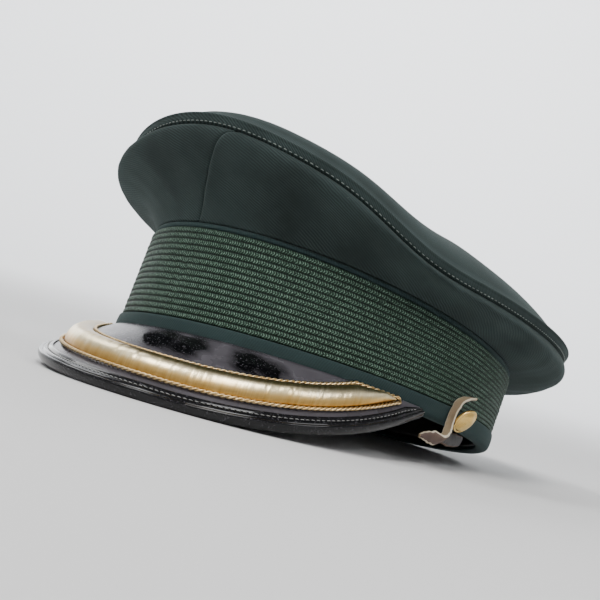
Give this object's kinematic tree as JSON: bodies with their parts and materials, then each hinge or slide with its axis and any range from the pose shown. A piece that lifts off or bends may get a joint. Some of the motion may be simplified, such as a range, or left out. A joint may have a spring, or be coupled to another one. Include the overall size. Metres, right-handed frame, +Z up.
{
  "type": "officer peaked cap",
  "caption": "Cloth officer's cap with a wide drooping crown, a ribbed braid band, a padded gold band on a bound black peak, and a torn chin strap beside its button.",
  "frame": {"origin": "middle of the bounding box in plan, on the surface that the cap rests on", "axes": "+X to the wearer's left, +Y to the back of the cap, +Z up from the surface; the peak points to -Y"},
  "size_m": [0.2089, 0.2987, 0.133],
  "materials": {
    "crown_cloth": "dark green wool twill, matt",
    "braid": "dark green ribbed mohair braid, soft sheen",
    "band_cloth": "dark blue-green cloth, matt",
    "sweat_leather": "black glazed leather",
    "patent_leather": "black patent, worn gloss",
    "binding_leather": "black rolled leather, glossy",
    "gold_thread": "gold metal thread laid satin smooth",
    "strap_leather": "torn leather, pale raw edges",
    "button_metal": "gilt, slightly worn"
  },
  "bodies": {
    "root": {"crown_tip": "crown_cloth", "crown_side_left": "crown_cloth", "crown_side_right": "crown_cloth", "band": "band_cloth", "braid_band": "braid", "band_welt": "band_cloth", "sweatband": "sweat_leather", "peak": "patent_leather", "peak_binding": "binding_leather", "bullion_band": "gold_thread", "bullion_cord": "gold_thread", "strap_stub": "strap_leather", "strap_root": "strap_leather", "button_left": "button_metal", "button_right": "button_metal"}
  },
  "joints": []
}
